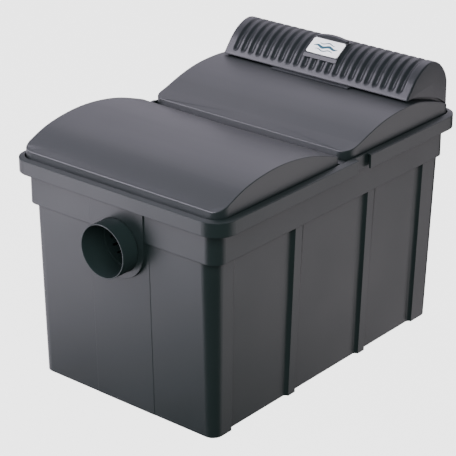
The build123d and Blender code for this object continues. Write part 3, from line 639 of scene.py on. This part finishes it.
SLOT_GAP = 3.5 * MM         # room round the hose tail
SLOT_OVER = 6 * MM          # how far the cutter runs past both ends
SLOT_DROP = 60 * MM
SLOT_STEPS = 24


def hose_slot():
    """Cutter for the arch in the hood's rear wall, round the hose tail."""
    low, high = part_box("hose_tail")
    x = (low[0] + high[0]) / 2
    z = (low[2] + high[2]) / 2
    radius = (high[0] - low[0]) / 2 + SLOT_GAP
    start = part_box("union_nut")[1][1] - SLOT_OVER
    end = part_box("vent_hood")[1][1] + SLOT_OVER
    bm = bmesh.new()
    loop = [(x - radius, z - SLOT_DROP), (x + radius, z - SLOT_DROP)]
    for step in range(SLOT_STEPS + 1):
        angle = math.pi * step / SLOT_STEPS
        loop.append((x + radius * math.cos(angle), z + radius * math.sin(angle)))
    first = [bm.verts.new((px, start, pz)) for px, pz in loop]
    last = [bm.verts.new((px, end, pz)) for px, pz in loop]
    bm.faces.new(first)
    bm.faces.new(list(reversed(last)))
    for index in range(len(loop)):
        after = (index + 1) % len(loop)
        bm.faces.new((first[after], first[index], last[index], last[after]))
    bmesh.ops.recalc_face_normals(bm, faces=bm.faces)
    mesh = bpy.data.meshes.new("slot")
    bm.to_mesh(mesh)
    bm.free()
    cutter = bpy.data.objects.new("slot", mesh)
    bpy.context.collection.objects.link(cutter)
    return cutter


def hood():
    """Ribbed hood over an inset neck, with an arch at the rear for the hose."""
    cutter = hose_slot()
    parts = (("hood_shell", hood_skin(), 3.0 * MM), ("hood_neck", neck_skin(lid_profile()), 2.4 * MM))
    for name, mesh, skin in parts:
        mesh = modified(name, mesh, "SOLIDIFY", thickness=skin, offset=-1.0, use_even_offset=True)
        mesh = modified(name, mesh, "BOOLEAN", operation="DIFFERENCE", object=cutter, solver="EXACT")
        mesh.shade_smooth()
        mesh.set_sharp_from_angle(angle=CREASE)
        obj = piece(name, mesh, "hood_black", "hood")
        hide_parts("vent_hood")
    bpy.data.objects.remove(cutter)


# row, half length and half width of each wave
WAVES = ((-1, 24 * MM, 1.3 * MM), (0, 31 * MM, 3.4 * MM), (1, 20 * MM, 1.3 * MM))
WAVE_GAP = 9.2 * MM
WAVE_HEIGHT = 2.2 * MM
WAVE_TURN = 210             # radians per metre
WAVE_STEPS = 48
MARK_LIFT = 0.12 * MM
MARK_SKIN = 0.2 * MM


def badge_mark():
    """Three plain waves on the plate, in place of a mark."""
    mesh = NODES["badge_label"].data
    top = max(mesh.polygons, key=lambda face: face.area * (face.normal.z > 0.5))
    normal = top.normal.copy()
    faces = [face for face in mesh.polygons if face.normal.dot(normal) > 0.999]
    corners = [mesh.vertices[i].co for face in faces for i in face.vertices]
    low = Vector([min(c[i] for c in corners) for i in range(3)])
    high = Vector([max(c[i] for c in corners) for i in range(3)])
    centre = (low + high) / 2
    across = Vector((1, 0, 0))
    upward = normal.cross(across).normalized()
    if upward.z < 0:
        upward = -upward
    bm = bmesh.new()
    for row, reach, thick in WAVES:
        before = None
        for step in range(WAVE_STEPS + 1):
            u = -reach + 2 * reach * step / WAVE_STEPS
            wave = WAVE_HEIGHT * math.sin(u * WAVE_TURN + row) + row * WAVE_GAP
            width = thick * math.sin(math.pi * min(1, max(0.02, step / WAVE_STEPS))) ** 0.5
            pair = []
            for side in (-1, 1):
                place = centre + across * u + upward * (wave + side * width) + normal * MARK_LIFT
                pair.append(bm.verts.new(place))
            if before:
                bm.faces.new((before[0], pair[0], pair[1], before[1]))
            before = pair
    mark = mesh_from("badge_mark", bm)
    mark = modified("badge_mark", mark, "SOLIDIFY", thickness=MARK_SKIN, offset=0.0)
    piece("badge_mark", mark, "label_white", "hood", MARK)


# ---------------------------------------------------------------- soft pieces

def box_surface(low, high, cell):
    """Points of a box's surface as a welded grid of quads."""
    bm = bmesh.new()
    counts = [max(2, round((high[i] - low[i]) / cell)) for i in range(3)]
    for axis in range(3):
        one, two = (axis + 1) % 3, (axis + 2) % 3
        for level in (low[axis], high[axis]):
            grid = []
            for i in range(counts[one] + 1):
                line = []
                for j in range(counts[two] + 1):
                    place = [0.0, 0.0, 0.0]
                    place[axis] = level
                    place[one] = low[one] + (high[one] - low[one]) * i / counts[one]
                    place[two] = low[two] + (high[two] - low[two]) * j / counts[two]
                    line.append(bm.verts.new(place))
                grid.append(line)
            for i in range(counts[one]):
                for j in range(counts[two]):
                    bm.faces.new((grid[i][j], grid[i + 1][j], grid[i + 1][j + 1], grid[i][j + 1]))
    bmesh.ops.remove_doubles(bm, verts=bm.verts, dist=1e-6)
    return bm


def softened(place, low, high, radius):
    """A box's surface point moved onto the same box with round edges."""
    core = [min(high[i] - radius, max(low[i] + radius, place[i])) for i in range(3)]
    away = Vector([place[i] - core[i] for i in range(3)])
    if away.length < 1e-9:
        return Vector(place)
    return Vector(core) + away.normalized() * radius


SOFT_CELL = 6 * MM          # mesh width of foams and bags
FOAM_EDGE = 6 * MM
FOAM_SLACK = 2.2 * MM
FOAM_TORN = {"foam_coarse": 1.1 * MM, "foam_medium": 0.8 * MM, "foam_fine": 0.5 * MM}


def foam_block(node, torn):
    """Cut block of open-cell foam with soft edges, slack faces and torn cells."""
    low, high = [Vector(corner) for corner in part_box(node)]
    middle = (low + high) / 2
    bm = box_surface(low, high, SOFT_CELL)
    for vert in bm.verts:
        place = softened(vert.co, low, high, FOAM_EDGE)
        slow = noise.noise(place * 7.0) * FOAM_SLACK
        fine = noise.noise(place * 160.0) * torn + noise.noise(place * 60.0) * torn
        away = place - middle
        share = Vector([away[i] / ((high[i] - low[i]) / 2) for i in range(3)])
        face = max(range(3), key=lambda i: abs(share[i]))
        push = Vector((0, 0, 0))
        push[face] = math.copysign(1.0, share[face])
        vert.co = place - push * (torn * 1.6 + FOAM_SLACK - slow - fine)
    obj = piece(node + "_sheet", mesh_from(node, bm), SLOTS[node], "tub")
    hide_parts(node)


BAG_GAP = 3 * MM            # half the gap between bags side by side
BAG_LAYER_GAP = 1 * MM
BAG_EDGE = 30 * MM
BAG_SHRINK = 0.962
BAG_PINCH = 0.10            # how much flatter a bag is at its sides
LUMP = 2.2 * MM
NET_LIFT = 1.2 * MM
NET_THREAD = 1.1 * MM


def bag_piece(name, mesh, material=None):
    """One soft piece of a media bag."""
    obj = piece(name, mesh, "net_bag", "tub", material)
    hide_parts("media_bags")


def media_bag(number, low, high):
    """A lumpy fill of ceramic rings in a net, inside a box."""
    centre = (low + high) / 2
    half = (high - low) / 2
    bm = box_surface(low, high, SOFT_CELL)
    for vert in bm.verts:
        place = softened(vert.co, low, high, BAG_EDGE)
        across, along_y = [(place[i] - centre[i]) / half[i] for i in range(2)]
        place.z = centre.z + (place.z - centre.z) * (1 - BAG_PINCH * (across ** 4 + along_y ** 4))
        lump = noise.cell(place * 62.0) * LUMP + noise.noise(place * 48.0) * LUMP
        vert.co = centre + (place - centre) * (BAG_SHRINK + lump / half.z)
    fill = mesh_from("media_fill", bm)
    bag_piece(f"media_fill_{number}", fill, RINGS)
    net = fill.copy()
    for vert in net.vertices:
        vert.co += (vert.co - centre).normalized() * NET_LIFT
    net = modified("media_net", net, "WIREFRAME", thickness=NET_THREAD, use_even_offset=False)
    bag_piece(f"media_net_{number}", net)


def media_bags():
    """Four net bags of ceramic rings, in two layers of two."""
    low, high = [Vector(corner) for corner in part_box("media_bags")]
    middle = (low + high) / 2
    spans_x = ((low.x, middle.x - BAG_GAP), (middle.x + BAG_GAP, high.x))
    spans_z = ((low.z, middle.z - BAG_LAYER_GAP), (middle.z + BAG_LAYER_GAP, high.z))
    for index in range(4):
        x = spans_x[index % 2]
        z = spans_z[index // 2]
        media_bag(index + 1, Vector((x[0], low.y, z[0])), Vector((x[1], high.y, z[1])))


BRUSH_REACH = 48 * MM       # radius of a brush
BRUSH_COLUMNS = 4
TUFTS = 1700                # bristles on each brush
TUFT_TURN = 0.61 * 2 * math.pi * 1.618
TUFT_MARGIN = 2 * MM
BRISTLE_HALF = 0.42 * MM
BRISTLE_RISE = 0.48 * MM
BRISTLE_TAPER = 0.8
WIRE = 2.2 * MM


def bristles():
    """Nylon bristles set round each brush's wire in a tight spiral."""
    low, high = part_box("brush_bristles")
    pick = random.Random(7)
    pitch = (high[0] - low[0] - 2 * BRUSH_REACH) / (BRUSH_COLUMNS - 1)
    verts, faces = [], []
    for brush in range(2 * BRUSH_COLUMNS):
        row, column = divmod(brush, BRUSH_COLUMNS)
        y = high[1] - BRUSH_REACH if row else low[1] + BRUSH_REACH
        x = (column - (BRUSH_COLUMNS - 1) / 2) * pitch
        for step in range(TUFTS):
            z = low[2] + TUFT_MARGIN + (high[2] - low[2] - 2 * TUFT_MARGIN) * step / TUFTS
            angle = step * TUFT_TURN + pick.uniform(-0.05, 0.05)
            reach = pick.uniform(45.5 * MM, 47.7 * MM)
            droop = pick.uniform(-6 * MM, 2 * MM)
            tip_z = min(high[2], max(low[2], z + droop))
            out = Vector((math.cos(angle), math.sin(angle), 0))
            side = Vector((-out.y, out.x, 0)) * BRISTLE_HALF
            lift = Vector((0, 0, BRISTLE_RISE))
            root = Vector((x, y, z)) + out * WIRE
            tip = Vector((x, y, tip_z)) + out * reach
            base = len(verts)
            verts += [root + side, root - side, root + lift]
            verts += [tip + side * BRISTLE_TAPER, tip - side * BRISTLE_TAPER, tip + lift * BRISTLE_TAPER]
            faces += [(base, base + 1, base + 4, base + 3), (base + 1, base + 2, base + 5, base + 4),
                      (base + 2, base, base + 3, base + 5), (base + 3, base + 4, base + 5)]
    mesh = bpy.data.meshes.new("brush_tufts")
    mesh.from_pydata(verts, [], faces)
    obj = piece("brush_tufts", mesh, "bristle_green", "tub")
    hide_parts("brush_bristles")


camera()
floor()
lights()
repaint()
lid_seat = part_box("front_lid")[0][2]
rounded_lid("front_lid", lid_seat)
rounded_lid("rear_lid", lid_seat)
crowned_tub()
outlet_spigot()
hood()
badge_mark()
for foam_node, torn_by in FOAM_TORN.items():
    foam_block(foam_node, torn_by)
media_bags()
bristles()
